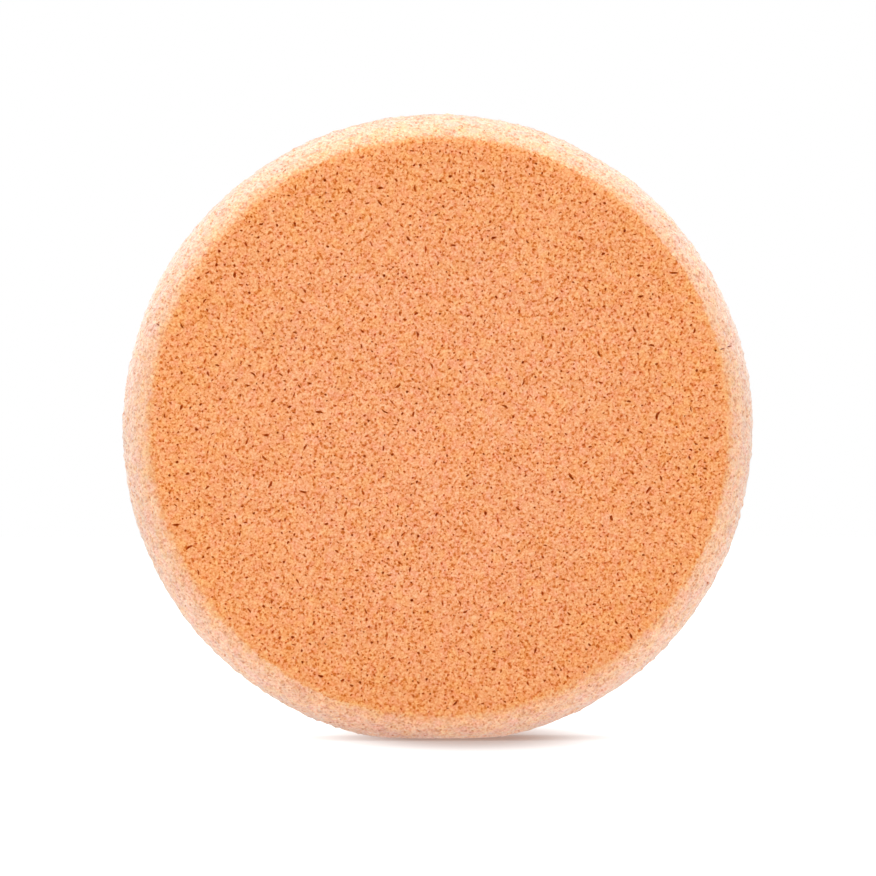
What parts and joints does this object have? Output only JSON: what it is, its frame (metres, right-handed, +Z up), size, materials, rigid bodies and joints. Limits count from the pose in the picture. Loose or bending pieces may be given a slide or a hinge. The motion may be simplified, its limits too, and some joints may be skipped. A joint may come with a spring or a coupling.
{
  "type": "makeup sponge",
  "caption": "Round foam makeup sponge: a flat-faced disc with a convex ground rim, standing on a small flat of its rim.",
  "frame": {"origin": "on the surface that the sponge stands on, under the middle of the disc", "axes": "+Z up, +Y along the disc's axis from the front face to the back face, +X across the disc to the right as seen from the front"},
  "size_m": [0.06, 0.012, 0.0595],
  "materials": {
    "peach_foam": "matt open-cell foam, fine pores with darker hollows, paler and velvety where the rim is ground"
  },
  "bodies": {
    "root": {"foam_body": "peach_foam"}
  },
  "joints": []
}
